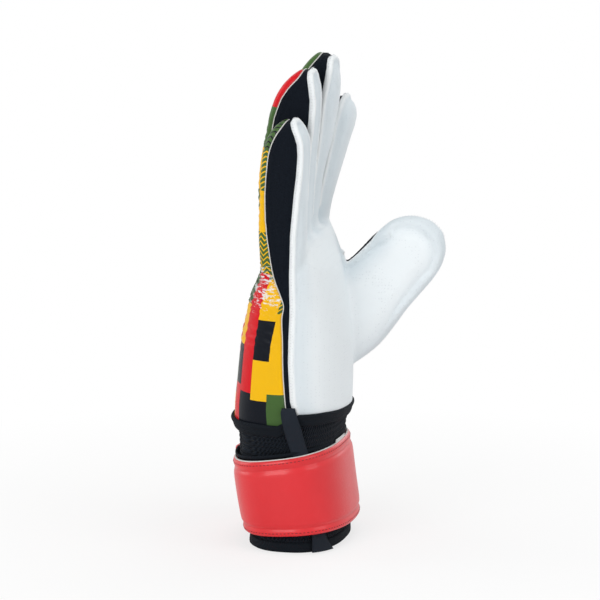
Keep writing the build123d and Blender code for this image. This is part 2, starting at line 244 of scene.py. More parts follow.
def smoothstep(low, high, x):
    t = np.clip((x - low) / (high - low), 0, 1)
    return t * t * (3 - 2 * t)


# ---- the glove's one skin ----
def hand_shape():
    rows = resample(HAND_ROWS, 3)
    return skin_rings([ring((c, 0, z), X_AXIS, Y_AXIS, a, b, HAND_POWER) for z, c, a, b in rows])


def finger_y(name, z):
    root, tip = FINGER_Y[name]
    top = FINGER_ROWS[name][-1][0]
    return root + (tip - root) * np.clip((z - CROTCH_Z) / (top - CROTCH_Z), 0, 1)


def finger_shape(name):
    rows = resample(FINGER_ROWS[name], 1.5)
    top = rows[-1, 0]
    rings = []
    for z, back, front in rows:
        width = FINGER_HALF_WIDTH * (1 - FINGER_SLIM * max(0, z - CROTCH_Z) / (top - CROTCH_Z))
        width *= math.sqrt(1 - (max(0.0, z - top + TIP_LENGTH) / (TIP_LENGTH + 0.8)) ** 2)
        centre = ((back + front) / 2, finger_y(name, z), z)
        rings.append(ring(centre, X_AXIS, Y_AXIS, (front - back) / 2, width, FINGER_POWER))
    return skin_rings(rings)


def thumb_shape():
    rings = []
    for share, half_w, half_d, shift in resample(THUMB_ROWS, 0.025):
        centre = THUMB_ROOT + THUMB_AXIS * share * THUMB_LENGTH + THUMB_ACROSS * shift
        rings.append(ring(centre, THUMB_ACROSS, -Y_AXIS, half_w, half_d, THUMB_POWER))
    return skin_rings(rings)


def web_shape():
    """The raised web between the ring and the middle finger."""
    rows = resample([(160, 13.0), (WEB_TOP - 4, 12.0), (WEB_TOP, 8.0)], 2)
    return skin_rings([ring((-3.5, 0, z), X_AXIS, Y_AXIS, a, 4.0, 2.4, 32) for z, a in rows])


def glove_shapes():
    """Points and faces of the hand, the thumb, the web and the fingers, which overlap."""
    return join([hand_shape(), thumb_shape(), web_shape(), *map(finger_shape, FINGERS)])


def in_scene(name, data):
    made = bpy.data.objects.new(name, data)
    bpy.context.collection.objects.link(made)
    return made


def blender_mesh(name, points, faces):
    mesh = bpy.data.meshes.new(name)
    mesh.from_pydata([tuple(p) for p in points], [], [tuple(f) for f in faces])
    mesh.update()
    return mesh


def fused(points, faces, voxel):
    """One outer skin of overlapping closed shapes, as triangles."""
    rough = in_scene("rough", blender_mesh("rough", points, faces))
    remesh = rough.modifiers.new("remesh", "REMESH")
    remesh.mode = "VOXEL"
    remesh.voxel_size = voxel
    view = rough.evaluated_get(bpy.context.evaluated_depsgraph_get())
    skin = bpy.data.meshes.new_from_object(view)
    bpy.data.objects.remove(rough)
    co = np.empty(len(skin.vertices) * 3)
    skin.vertices.foreach_get("co", co)
    tris = []
    for face in skin.polygons:
        corners = tuple(face.vertices)
        tris += [(corners[0], *corners[k : k + 2]) for k in range(1, len(corners) - 1)]
    bpy.data.meshes.remove(skin)
    return co.reshape(-1, 3), np.array(tris)


def sides_of(tris):
    """The three sides of every triangle, each in the direction in which the triangle runs."""
    return np.vstack([tris[:, [0, 1]], tris[:, [1, 2]], tris[:, [2, 0]]])


def edges_of(tris):
    return np.unique(np.sort(sides_of(tris), axis=1), axis=0)


def neighbour_mean(values, edges):
    """Each point's mean over its neighbours."""
    n = len(values)
    flat = values.reshape(n, -1)
    total = np.zeros_like(flat)
    count = np.bincount(edges.ravel(), minlength=n)
    for k in range(flat.shape[1]):
        total[:, k] = np.bincount(edges[:, 0], flat[edges[:, 1], k], n)
        total[:, k] += np.bincount(edges[:, 1], flat[edges[:, 0], k], n)
    return (total / np.maximum(count, 1)[:, None]).reshape(values.shape)


def smooth(points, tris, rounds, amount=0.5, keep_volume=True):
    """Evens out a skin; amount may differ from point to point."""
    edges = edges_of(tris)
    amount = np.broadcast_to(np.asarray(amount, float), (len(points),))[:, None]
    for _ in range(rounds):
        points = points + amount * (neighbour_mean(points, edges) - points)
        if keep_volume:
            points = points - STEP_BACK * amount * (neighbour_mean(points, edges) - points)
    return points


def point_normals(points, tris):
    a, b, c = (points[tris[:, k]] for k in range(3))
    face = np.cross(b - a, c - a)
    normal = np.zeros_like(points)
    for k in range(3):
        for j in range(3):
            normal[:, j] += np.bincount(tris[:, k], face[:, j], len(points))
    return unit(normal)


def glove_skin():
    points, tris = fused(*glove_shapes(), VOXEL)
    points = smooth(points, tris, SKIN_SMOOTHING)
    height, spread, half = CROTCH_SOFT
    crotch = np.exp(-(((points[:, 2] - height) / spread) ** 2)) * (np.abs(points[:, 1]) < half)
    at, spread, side, most = THENAR_SOFT
    along, across = thumb_place(points)
    thenar = np.exp(-(((along - at) / spread) ** 2)) * np.exp(-((across / side) ** 4)) * (points[:, 1] < most)
    return smooth(points, tris, SOFT_ROUNDS, 0.5 * np.clip(crotch + thenar, 0, 1), False), tris


# ---- where the seams run ----
def thumb_place(points):
    """Distances along the thumb and across it."""
    away = points - THUMB_ROOT
    return away @ THUMB_AXIS, away @ THUMB_ACROSS


def nearest_column(y):
    """Number of the finger, from the little one, over which each y lies."""
    return np.argmin(np.abs(y[:, None] - SEAM_COLUMNS), axis=1)


def finger_fan(z):
    """Share of its y that a point at this height would have if the fingers stood parallel."""
    return 1 - FINGER_FAN * np.clip((z - CROTCH_Z) / FAN_HEIGHT, 0, 1)


def seam_edges(points):
    """Back and front edge of the gusset, as x at each point."""
    _, y, z = points.T
    edges = []
    for side in (1, 2):
        columns = []
        for rows in (ULNAR_ROWS, RING_ROWS, MIDDLE_ROWS, RADIAL_ROWS):
            rows = np.array(rows, float)
            columns.append(np.interp(z, rows[:, 0], rows[:, side]))
        columns = np.array(columns)
        place = np.interp(y * finger_fan(z), SEAM_COLUMNS, (0, 1, 2, 3))
        low = np.clip(np.floor(place).astype(int), 0, 2)
        share = smoothstep(0.46, 0.54, place - low)
        n = np.arange(len(z))
        edge = columns[low, n] * (1 - share) + columns[low + 1, n] * share
        if side == 2:
            between = 1 - smoothstep(0.12, 0.26, np.abs(place - low - 0.5))
            edge = edge - WEB_WRAP * between * (1 - smoothstep(185, 193, z))
        edges.append(edge)
    return edges


def thumb_lean(points):
    """How far back the thumb's seams lie; negative where they come forward."""
    along, across = thumb_place(points)
    upper = smoothstep(2, 8, across) * (1 - smoothstep(66, 82, along))
    return THUMB_LEAN[0] * smoothstep(72, 84, along) - THUMB_LEAN[1] * upper


def latex_depth(points):
    """How far inside the latex's edge a point lies; negative outside it."""
    x, y, _ = points.T
    _, front = seam_edges(points)
    _, across = thumb_place(points)
    return np.minimum(x - front, np.maximum(THUMB_SEAMS[0] + thumb_lean(points) - y, across - THUMB_ZONE))


def print_depth(points):
    """How far inside the printed back's edge a point lies; negative outside it."""
    x, y, _ = points.T
    back, front = seam_edges(points)
    along, across = thumb_place(points)
    within = THUMB_PRINT[0] + THUMB_PRINT[1] * smoothstep(46, 60, along) - across
    behind = y - THUMB_SEAMS[1] - 0.4 * thumb_lean(points)
    return np.maximum(back - x, np.minimum(np.minimum(behind, within), x - front))


def wrist_seam(angle):
    """Height of the seam between hand and cuff at an angle round the wrist."""
    return np.interp((np.asarray(angle, float) + 180) % 360 - 180, *zip(*WRIST_SEAM))


def seam_height(points):
    """Height over the seam between hand and cuff."""
    x, y, z = points.T
    return z - wrist_seam(np.degrees(np.arctan2(y, x - WRIST_MIDDLE_X)))


def seam_floor(points):
    """Height over the line where the panels end."""
    return seam_height(points) + SEAM_OVERLAP


def cut_along(points, tris, field, snap=0.3):
    """Splits triangles where a field crosses nought, after moving points that nearly lie there."""
    value = field(points)
    edges = edges_of(tris)
    length = np.linalg.norm(points[edges[:, 0]] - points[edges[:, 1]], axis=1).mean()
    step = 0.05
    for _ in range(2):
        slope = np.zeros_like(points)
        for k in range(3):
            shifted = points.copy()
            shifted[:, k] += step
            slope[:, k] = (field(shifted) - value) / step
        near = np.abs(value) < snap * length
        size = np.maximum((slope**2).sum(1), 0.25)
        points = points - np.where(near, value / size, 0)[:, None] * slope
        value = np.where(near, 0.0, field(points))
    cut = edges[value[edges[:, 0]] * value[edges[:, 1]] < 0]
    a, b = cut.T
    share = value[a] / (value[a] - value[b])
    fresh = points[a] + share[:, None] * (points[b] - points[a])
    index = {tuple(edge): len(points) + k for k, edge in enumerate(cut.tolist())}
    points = np.vstack([points, fresh])
    value = np.append(value, np.zeros(len(fresh)))
    signs = np.sign(value)
    mixed = (signs[tris].min(1) < 0) & (signs[tris].max(1) > 0)
    pieces = []
    for tri in tris[mixed].tolist():
        outline = []
        for k in range(3):
            p, q = tri[k], tri[(k + 1) % 3]
            outline.append(p)
            middle = index.get((min(p, q), max(p, q)))
            if middle is not None:
                outline.append(middle)
        on = [k for k, p in enumerate(outline) if signs[p] == 0]
        i, j = on[0], on[-1]
        for part in (outline[i : j + 1], outline[j:] + outline[: i + 1]):
            pieces += [(part[0], part[k], part[k + 1]) for k in range(1, len(part) - 1)]
    return points, np.vstack([tris[~mixed], np.array(pieces, int).reshape(-1, 3)])


def cells(tris, points):
    """Each triangle's panel: latex, print or gusset."""
    centre = points[tris].mean(1)
    latex, printed = latex_depth(centre) > 0, print_depth(centre) > 0
    return np.where(latex, "latex", np.where(printed, "print", "gusset"))


def part_round(tris, chosen, seed):
    """The chosen triangles that hang together with one of them."""
    picked = np.zeros(tris.max() + 1, bool)
    picked[tris[seed]] = True
    corners = tris[chosen]
    count = 0
    while picked.sum() != count:
        count = picked.sum()
        picked[corners[picked[corners].any(1)]] = True
    return chosen & picked[tris].all(1)


def body_of_cells(tris, points):
    """The body that each triangle of the skin turns with."""
    centre = points[tris].mean(1)
    body = np.full(len(tris), "hand", dtype="<U8")
    raised = centre[:, 2] > CREASE_START
    parallel = centre[:, 1] * finger_fan(centre[:, 2])
    body[raised] = np.array(FINGERS)[nearest_column(parallel[raised])]
    along, across = thumb_place(centre)
    beyond = (along > THUMB_CREASE[0]) & (np.abs(across) < THUMB_REACH)
    body[part_round(tris, beyond, np.argmin(np.linalg.norm(centre - THUMB_TIP, axis=1)))] = "thumb"
    return body


def thumb_start(points):
    return thumb_place(points)[0] - THUMB_CREASE[0]


def crease_height(points):
    return points[:, 2] - CREASE_START


def border(tris, labels, pair=None):
    """Edges between triangles of different labels, or of just one pair of labels."""
    pairs = np.sort(sides_of(tris), axis=1)
    order = np.lexsort(pairs.T)
    pairs, face = pairs[order], np.tile(np.arange(len(tris)), 3)[order]
    twin = np.flatnonzero((pairs[1:] == pairs[:-1]).all(1))
    first, second = labels[face[twin]], labels[face[twin + 1]]
    differ = first != second
    if pair is not None:
        differ &= np.isin(first, pair) & np.isin(second, pair)
    return pairs[twin][differ]


def chains(edges):
    """Edges joined end to end into runs of points."""
    near = {}
    for a, b in edges.tolist():
        near.setdefault(a, []).append(b)
        near.setdefault(b, []).append(a)
    runs = []
    while near:
        run = [min(near, key=lambda p: (len(near[p]) != 1, p))]
        while near.get(run[-1]):
            here = run[-1]
            there = near[here].pop()
            near[there].remove(here)
            run.append(there)
        near = {p: others for p, others in near.items() if others}
        runs.append(run)
    return runs


def even_line(line, step, rounds=4):
    """A line through some points, smoothed and cut into even steps."""
    for _ in range(rounds):
        line[1:-1] = (line[:-2] + 2 * line[1:-1] + line[2:]) / 4
    run = np.append(0, np.cumsum(np.linalg.norm(np.diff(line[:, :3], axis=0), axis=1)))
    at = np.linspace(0, run[-1], max(2, round(run[-1] / step) + 1))
    return np.column_stack([np.interp(at, run, line[:, k]) for k in range(line.shape[1])]), at


def search_tree(points):
    tree = KDTree(len(points))
    for k, point in enumerate(points.tolist()):
        tree.insert(point, k)
    tree.balance()
    return tree


def seam_gap(points, tris, kinds):
    """Each point's distance to the nearest seam."""
    lines = [even_line(points[chain], SEAM_STEP, 1)[0] for chain in chains(border(tris, kinds))]
    tree = search_tree(np.vstack(lines))
    return np.array([tree.find(point)[2] for point in points.tolist()])


def relief(points, tris, kinds, gap):
    """How far each point stands proud of the plain skin."""
    on = {kind: np.zeros(len(points), bool) for kind in KINDS}
    for kind in on:
        on[kind][np.unique(tris[kinds == kind])] = True
    along, across = thumb_place(points)
    on_thumb = smoothstep(30, 60, along) * (across < THUMB_ZONE + 4)
    lip = np.maximum(smoothstep(150, 195, points[:, 2]), on_thumb)
    flat = SEAM_DIP * (1 - smoothstep(0, 1.6, gap))
    plain = np.interp(gap, *zip(*LATEX_EDGE)) * (0.35 + 0.65 * lip) + flat * (0.5 - 0.5 * lip)
    inwards = gap + np.maximum(-thumb_lean(points), 0) * smoothstep(1, 3, gap)
    thumb = np.interp(inwards, *zip(*THUMB_EDGE))
    peep = THUMB_PEEP * on_thumb * (smoothstep(2, 8, across) * (1 - smoothstep(66, 80, along)))
    heights = {
        "latex": plain + on_thumb * (thumb - plain),
        "print": np.interp(gap, *zip(*PRINT_EDGE)) + peep,
        "gusset": np.interp(gap, *zip(*GUSSET_EDGE)) + peep,
    }
    height = np.full(len(points), SEAM_DIP)
    for kind, chosen in on.items():
        alone = chosen & (sum(on.values()) == 1)
        height[alone] = heights[kind][alone]
    return height


def thicken(points, normals, tris, wall):
    """A closed shell: an open skin, its inner face and the rim between them."""
    used = np.unique(tris)
    place = np.full(len(points), -1)
    place[used] = np.arange(len(used))
    tris = place[tris]
    outer = points[used]
    inner = outer - normals[used] * wall
    directed = sides_of(tris)
    keys = directed[:, 0] * len(used) + directed[:, 1]
    mirror = directed[:, 1] * len(used) + directed[:, 0]
    rim = directed[~np.isin(keys, mirror)]
    n = len(used)
    around = np.column_stack([rim[:, 1], rim[:, 0], rim[:, 0] + n, rim[:, 1] + n])
    return np.vstack([outer, inner]), tris.tolist() + (tris[:, ::-1] + n).tolist() + around.tolist(), used


# ---- pieces ----
def make_piece(name, points, faces, material, rest=None, normals=None, **extras):
    """A Blender object in metres; extras become point attributes."""
    mesh = blender_mesh(name, np.asarray(points) / 1000, faces)
    mesh.polygons.foreach_set("use_smooth", [True] * len(mesh.polygons))
    if normals is not None:
        mesh.normals_split_custom_set_from_vertices(normals.tolist())
    rest = np.asarray(points if rest is None else rest)
    values = {"rest": rest / 1000, **extras}
    for key, value in values.items():
        kind = "FLOAT_VECTOR" if value.ndim == 2 else "FLOAT"
        layer = mesh.attributes.new(key, kind, "POINT")
        layer.data.foreach_set("vector" if value.ndim == 2 else "value", value.astype(np.float32).ravel())
    mesh.materials.append(material)
    return in_scene(name, mesh)


def bend_span(body):
    """Where the skin begins to turn with a body, and where all of it does, in millimetres."""
    if body == "thumb":
        return [THUMB_ROOT + THUMB_AXIS * along for along in THUMB_CREASE]
    if body == "strap_tail":
        return [strap_point(angle, 0.0, 8.0) for angle in TAIL_BEND]
    return [np.array((0, 0, height)) for height in (CREASE_START, CREASE_END)]


def settle(piece, body, replaced=()):
    """Hangs a piece of the hand under the hand's empty, and bakes any other piece's placement into its
    points; the span over which such a piece would turn is worked out but not used. Then hides the parts of
    model.glb that the piece stands for.
    """
    if body == "hand":
        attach(piece, "hand")
    else:
        start, end = bend_span(body)
        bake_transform(piece)
    if replaced:
        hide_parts(*replaced)


def print_place(points):
    """Where each point lies on the flat cloth of the printed back; the thumb's piece lies further on."""
    x, y, z = points.T
    back = np.interp(z, [r[0] for r in HAND_ROWS], [r[1] - r[2] for r in HAND_ROWS])
    nearest = nearest_column(y)
    finger_back = np.array([np.interp(z, *np.array(FINGER_ROWS[f])[:, :2].T) for f in FINGERS])
    finger_back = finger_back[nearest, np.arange(len(z))]
    hand_u = y + np.sign(y) * np.maximum(x - back - CLOTH_CORNER, 0)
    away = y - SEAM_COLUMNS[nearest]
    finger_u = y + np.sign(away) * np.maximum(x - finger_back - CLOTH_CORNER, 0)
    raised = np.interp(z, (170, 195), (0, 1))
    u = hand_u * (1 - raised) + finger_u * raised
    along, across = thumb_place(points)
    thumb = (print_depth(points) > -1) & (x > seam_edges(points)[1]) & (across < THUMB_ZONE)
    u = np.where(thumb, across + THUMB_CLOTH[0], u)
    v = np.where(thumb, along + THUMB_CLOTH[1], z)
    return np.column_stack([u, v, np.zeros(len(v))])


def build_skin():
    """The panels, body by body and kind by kind, with their trim."""
    points, tris = glove_skin()
    for field in (latex_depth, print_depth, seam_floor, crease_height, thumb_start):
        points, tris = cut_along(points, tris, field)
    tris = tris[seam_floor(points[tris].mean(1)) > 0]
    kinds = cells(tris, points)
    bodies = body_of_cells(tris, points)
    gap = seam_gap(points, tris, kinds)
    raised = relief(points, tris, kinds, gap) + wrinkles(points, tris, kinds)
    shaped = points + point_normals(points, tris) * raised[:, None]
    normals = point_normals(shaped, tris)
    for body in np.unique(bodies):
        for kind in KINDS:
            chosen = (bodies == body) & (kinds == kind)
            if not chosen.any():
                continue
            shell, faces, used = thicken(shaped, normals, tris[chosen], WALL)
            rest = np.tile(points[used], (2, 1))
            facing = np.vstack([normals[used], -normals[used]])
            cloth, edge = print_place(points[used]), gap[used] / 1000
            extras = {"cloth": np.tile(cloth, (2, 1)), "edge": np.tile(edge, 2)}
            name = f"{body}_{kind}_panel"
            piece = make_piece(name, shell, faces, MATERIALS[kind], rest, facing, **extras)
            settle(piece, body, REPLACED.get((body, kind), ()))
        mine = bodies == body
        trim_seams(body, shaped, normals, tris[mine], kinds[mine])


def circle(centre, radius, n, s, sides=6):
    """Points round a centre, in the plane of two directions."""
    turns = np.arange(sides) * 2 * math.pi / sides
    return centre + radius * (np.outer(np.cos(turns), n) + np.outer(np.sin(turns), s))


def cord(path, normals, radius):
    """A round cord along a path, closed at both ends."""
    sides = unit(np.cross(np.gradient(path, axis=0), normals))
    return loop_mesh([circle(p, radius, n, s) for p, n, s in zip(path, normals, sides)], False)


def stitch(middle, along, up, length, radius):
    """One stitch, thinner at its two ends where it dives into the cloth."""
    side = np.cross(along, up)
    rows = []
    for step, swell in ((-0.5, 0.35), (-0.36, 0.9), (0.0, 1.0), (0.36, 0.9), (0.5, 0.35)):
        centre = middle + along * length * step - up * radius * (abs(step) * 2) ** 3
        rows.append(circle(centre, radius * swell, up, side))
    return loop_mesh(rows, False)


def trim_seams(body, points, normals, tris, kinds):
    """Piping between print and gusset, and the stitches that hold the latex's rolled edge."""
    both = np.hstack([points, normals])
    cords = []
    for chain in chains(border(tris, kinds, ("print", "gusset"))):
        line, run = even_line(both[chain], PIPING_STEP)
        if run[-1] > SHORTEST_SEAM:
            facing = unit(line[:, 3:])
            cords.append(cord(line[:, :3] + PIPING_RISE * facing, facing, PIPING_RADIUS))
    latex = both[np.unique(tris[kinds == "latex"])]
    tree = search_tree(latex[:, :3])
    stitches = []
    for chain in chains(border(tris, kinds, ("latex", "gusset"))):
        line, run = even_line(both[chain], STITCH_PITCH)
        if run[-1] < SHORTEST_SEAM:
            continue
        facing, ahead = unit(line[:, 3:]), unit(np.gradient(line[:, :3], axis=0))
        inwards = np.cross(facing, ahead)
        for point, way in zip(line[1:-1, :3], inwards[1:-1]):
            # The stitch lies on the side of the seam where the latex is.
            spots = [point + way * side * STITCH_AWAY for side in (1, -1)]
            found = min((tree.find(spot.tolist()) for spot in spots), key=lambda f: f[2])
            near, out = latex[found[1], :3], latex[found[1], 3:]
            spot = min(spots, key=lambda q: np.linalg.norm(q - near))
            spot = spot - out * ((spot - near) @ out) + out * 0.1
            stitches.append(stitch(spot, unit(spot - point), out, STITCH_LENGTH, STITCH_RADIUS))
    for name, shapes, material in (("piping", cords, "piping"), ("stitches", stitches, "white thread")):
        if shapes:
            trim = make_piece(f"{body}_{name}", *join(shapes), MATERIALS[material])
            settle(trim, body)


def build_linings():
    """The textile lining inside the panels, one bag for each body."""
    points, tris = fused(*glove_shapes(), LINING_VOXEL)
    points = smooth(points, tris, LINING_SMOOTHING)
    tris = tris[seam_height(points[tris].mean(1)) > 0]
    bodies = body_of_cells(tris, points)
    normals = point_normals(points, tris)
    points = points - normals * (WALL + LINING_GAP)
    for body in np.unique(bodies):
        shell, faces, used = thicken(points, normals, tris[bodies == body], LINING_WALL)
        rest = np.tile(points[used], (2, 1))
        lining = make_piece(f"{body}_lining_cloth", shell, faces, MATERIALS["lining"], rest)
        settle(lining, body, [f"{body}_lining"])


def wrinkles(points, tris, kinds):
    """Soft unevenness everywhere, and folds where the printed back bends."""
    x, y, z = points.T
    printed = np.zeros(len(points))
    printed[np.unique(tris[kinds == "print"])] = 1
    swell = SWELL * np.sin(x / 9 + y / 13 + 1.3) * np.sin(z / 17 + y / 21)
    folds = np.zeros(len(points))
    for height, spread, wave, depth in FOLDS:
        slant = z + 0.25 * y + 0.5 * x + 1.6 * np.sin(y / 6 + height) + 0.8 * np.sin(y / 2.3 + z / 4)
        folds += depth * np.exp(-(((z - height) / spread) ** 2)) * np.cos(2 * math.pi * slant / wave)
    on_thumb = smoothstep(22, 36, thumb_place(points)[0]) * (y > 12)
    return swell + folds * printed * (1 - 0.85 * on_thumb)


# ---- cuff and strap ----
# Rows of the cuff's outside: height, middle x, half depth, half width.
CUFF_ROWS = [
    (-0.5, 1.0, 26.2, 39.4), (4, 1.2, 26.0, 39.4), (15, 1.6, 26.2, 39.4), (34, -1.0, 27.0, 40.0),
    (54, -3.4, 28.4, 41.4), (64, -3.5, 29.0, 42.6), (72, -3.4, 30.0, 43.8), (80, -3.3, 30.2, 44.6),
    (92, -3.2, 30.4, 45.0),
]
CUFF_WALL = 1.6
CUFF_TOP = 88  # the knit is made up to here and then cut off at its seam with the hand
RIB_PITCH, RIB_HEIGHT = 3.1, 0.28  # of the knit
TURN = 1.5  # degrees from one section round the wrist to the next
# The strap's inner face is stiffer and straighter than the cuff's outside.
STRAP_ROWS = [
    (0, 3.6, 27.4, 39.4), (15, 1.5, 27.2, 39.6), (34.5, -1.6, 27.1, 40.0), (54, -4.2, 27.6, 41.2),
    (70, -6.2, 28.0, 42),
]
STRAP_DROP = (4.3, 3.3)  # its lower edge hangs lower by the first, and at the palm by the second as well
STRAP_MIDDLE = np.array((-1.0, 0.0, 34.5))
STRAP_TILT = math.radians(8.8)
TAIL_ROOT, TAIL_TIP = 150.0, 88.0  # angles round the wrist, from the palm to the thumb side
TAIL_BEND = (TAIL_ROOT + 14, TAIL_ROOT - 8)  # between these angles the strap comes to turn with its tail
TAIL_LIFT = 5.2  # the tail lies this far over the band below it
RAMP_START = 196.0  # from here on the band rises to the tail
UNDER_TAIL = 0.56  # under the tail the band is flatter by this share, to carry the loop patch
SWELL_FROM = 1.2  # a section swells or flattens from this distance outwards
# Across the strap: height from its middle, distance from the cuff.
STRAP_PROFILE = [
    (-20.0, 1.6), (-20.7, 2.6), (-20.5, 4.0), (-19.7, 4.75), (-17.8, 4.8), (-16.6, 4.5), (-15.9, 4.25),
    (-15.2, 4.8), (-13.8, 5.4), (-9.0, 5.75), (0.0, 5.9), (9.0, 5.7), (12.6, 5.3), (14.2, 4.7),
    (15.0, 4.1), (15.8, 4.5), (17.2, 4.75), (19.2, 4.6), (20.3, 4.0), (20.7, 2.8), (20.0, 1.6),
]
LIP_PROFILE = [
    (-18, 0.1), (-18, 0.9), (18, 1.0), (21, 1.9), (23.0, 2.9), (23.8, 2.7), (23.6, 1.9), (21, 1.0), (18, 0.2),
]
# The patches between band and tail: angles round the wrist, distance of their back and of their face.
PATCHES = [("loop", (82, 146), 3.3, 4.3), ("hook", (92, 143), 5.2, 5.9)]
# The cords and stitches along the strap's edges: height, distance.
RIM_CORD = (20.6, 3.1)
STRAP_SEAMS = ((18.4, 4.72), (-18.6, 4.82))
# The bindings: height over the seam or the foot, distance from the cuff.
BINDING_PROFILE = [
    (0.2, 0.4), (1.0, 1.2), (1.5, 2.3), (1.0, 3.1), (0.0, 3.3), (-1.4, 2.8), (-2.2, 2.3), (-3.4, 2.2),
    (-5.0, 1.7), (-5.8, 1.1), (-6.0, 0.2), (-5.4, -0.4), (-2.0, -0.4),
]
FOOT_PROFILE = [
    (0.0, -1.4), (0.0, 0.4), (0.4, 1.2), (2.4, 1.3), (5.0, 1.0), (5.6, 0.2), (5.0, -1.0), (2.0, -2.0),
]
# The tab that covers the side seam: height, left x, right x, distance from the cuff.
TAB_ROWS = [
    (0.2, 16.2, 24.2, 3.0), (3.0, 16.4, 23.6, 2.0), (7.5, 16.5, 22.6, 1.0), (16, 15.6, 21.8, 0.3),
    (40, 10.4, 18.4, 0.3), (58, 6.2, 14.6, 0.5), (66, 4.2, 13.0, 1.0), (71, 3.1, 12.1, 2.2),
    (76, 2.3, 11.1, 3.4), (82, 1.5, 9.6, 3.8), (85, 1.3, 9.0, 3.0), (86.5, 1.7, 8.6, 1.8),
]
LABEL_ANGLES, LABEL_HEIGHTS = (-26.0, 6.0), (48, 62.8)
TAB_THICKNESS, LABEL_THICKNESS = 1.0, 0.35


def cuff_section(z, rows=CUFF_ROWS):
    """Middle x, half depth and half width of the cuff at a height."""
    rows = resample(rows, 1.0)
    return [np.interp(z, rows[:, 0], rows[:, k]) for k in (1, 2, 3)]


def cuff_point(angle, z, out, rows=CUFF_ROWS):
    """A point on the cuff at an angle round the wrist and a height, some way out from its face."""
    centre, a, b = cuff_section(z, rows)
    c, s = np.cos(np.radians(angle)), np.sin(np.radians(angle))
    reach = (np.abs(c) / (a + out)) ** HAND_POWER + (np.abs(s) / (b + out)) ** HAND_POWER
    reach = reach ** (-1 / HAND_POWER)
    return np.stack(np.broadcast_arrays(centre + reach * c, reach * s, z), axis=-1)


def strap_point(angle, height, out):
    """A point of the strap: an angle, a height over its tilted middle, a distance from its inner face."""
    drop = STRAP_DROP[0] + STRAP_DROP[1] * np.cos(np.radians(angle))
    height = height - drop * np.clip((12 - height) / 24, 0, 1)
    z = STRAP_MIDDLE[2] + height / math.cos(STRAP_TILT)
    for _ in range(6):
        x = cuff_point(angle, z, out, STRAP_ROWS)[..., 0]
        z = STRAP_MIDDLE[2] + (height + (x - STRAP_MIDDLE[0]) * math.sin(STRAP_TILT)) / math.cos(STRAP_TILT)
    return cuff_point(angle, z, out, STRAP_ROWS)


def seam_point(angle, height, out):
    return cuff_point(angle, wrist_seam(angle) + height, out)


def sweep(angles, profile, place, lift=0.0, swell=1.0, closed=False):
    """A profile of heights and distances carried round the wrist, lifted and swollen on its way."""
    height, out = profile.T
    rows = []
    for angle, up, k in np.broadcast(angles, lift, swell):
        rows.append(place(angle, height, SWELL_FROM + (out - SWELL_FROM) * k + up))
    return loop_mesh(rows, closed)


def loop_mesh(rows, closed):
    """A closed mesh through equal closed outlines, end to end or round in a ring."""
    count = len(rows[0])
    k = np.arange(count)
    k1 = (k + 1) % count
    faces = []
    for level in range(len(rows) if closed else len(rows) - 1):
        a, b = level * count, ((level + 1) % len(rows)) * count
        faces += np.column_stack([a + k, b + k, b + k1, a + k1]).tolist()
    points = np.vstack(rows)
    if not closed:
        end = (len(rows) - 1) * count
        faces += [k.tolist(), (end + k[::-1]).tolist()]
    return points, faces


def refine(profile, step):
    """More points along a closed outline, rounded through the given ones."""
    p = np.array(profile, float)
    out = []
    for a, b, c, d in zip(np.roll(p, 1, 0), p, np.roll(p, -1, 0), np.roll(p, -2, 0)):
        parts = max(1, int(np.linalg.norm(c - b) / step))
        for t in np.arange(parts) / parts:
            bend = (2 * a - 5 * b + 4 * c - d) * t**2 + (3 * b - a - 3 * c + d) * t**3
            out.append(0.5 * (2 * b + (c - a) * t + bend))
    return np.array(out)


def wrist_piece(name, shape, material, replaced=(), body="hand"):
    """A piece of the cuff or the strap, from its points and faces."""
    settle(make_piece(name, *shape, MATERIALS[material]), body, replaced)


def wrist_pieces():
    """The cuff with its bindings, tab and label, and the strap."""
    all_round = np.arange(0, 360, TURN)
    wrist_piece("cuff_knit", cuff_shape(), "knit", ["cuff"])
    rolled = sweep(all_round, refine(BINDING_PROFILE, 0.5), seam_point, closed=True)
    wrist_piece("cuff_top_tape", rolled, "binding", ["cuff_top_binding"])
    rolled = sweep(all_round, refine(FOOT_PROFILE, 0.6), cuff_point, closed=True)
    wrist_piece("cuff_foot_tape", rolled, "binding", ["cuff_bottom_binding"])
    tab_and_label()
    strap_pieces()
    strap_stitches()


def cuff_shape():
    """The knit cuff: courses of ribs, a little uneven, with an outer and an inner face."""
    angles = np.arange(0, 360, 1.0)
    outer, inner = [], []
    for z in np.arange(-0.5, CUFF_TOP, 0.6):
        wave = RIB_HEIGHT * np.sin(2 * math.pi * z / RIB_PITCH + 0.5 * np.sin(np.radians(angles * 3)))
        slack = 0.5 * np.sin(np.radians(angles * 2 + 40 + z * 2.2))
        slack = slack * smoothstep(50, 62, z) * (1 - smoothstep(66, 74, z))
        outer.append(cuff_point(angles, z, wave + slack))
        inner.append(cuff_point(angles, z, slack - CUFF_WALL))
    columns = np.array(outer + inner[::-1]).transpose(1, 0, 2)
    over = seam_height(columns.reshape(-1, 3)).reshape(columns.shape[:2])
    columns[..., 2] -= np.maximum(over, 0)
    return loop_mesh(list(columns), True)


def side_angle(x, z):
    """The angle round the wrist at which the little finger's side of the cuff has this x."""
    centre, a, b = cuff_section(z)
    y = -b * (1 - np.abs((x - centre) / a) ** HAND_POWER) ** (1 / HAND_POWER)
    return np.degrees(np.arctan2(y, x - centre))


def strip(path, thickness):
    """A flat strip along rows of cuff points; each row gives two edge angles, a height and an offset."""
    rows = []
    for left, right, z, out in path:
        angles = np.linspace(left, right, 7)
        rows.append(np.vstack([cuff_point(angles, z, out), cuff_point(angles[::-1], z, out + thickness)]))
    return loop_mesh(rows, False)


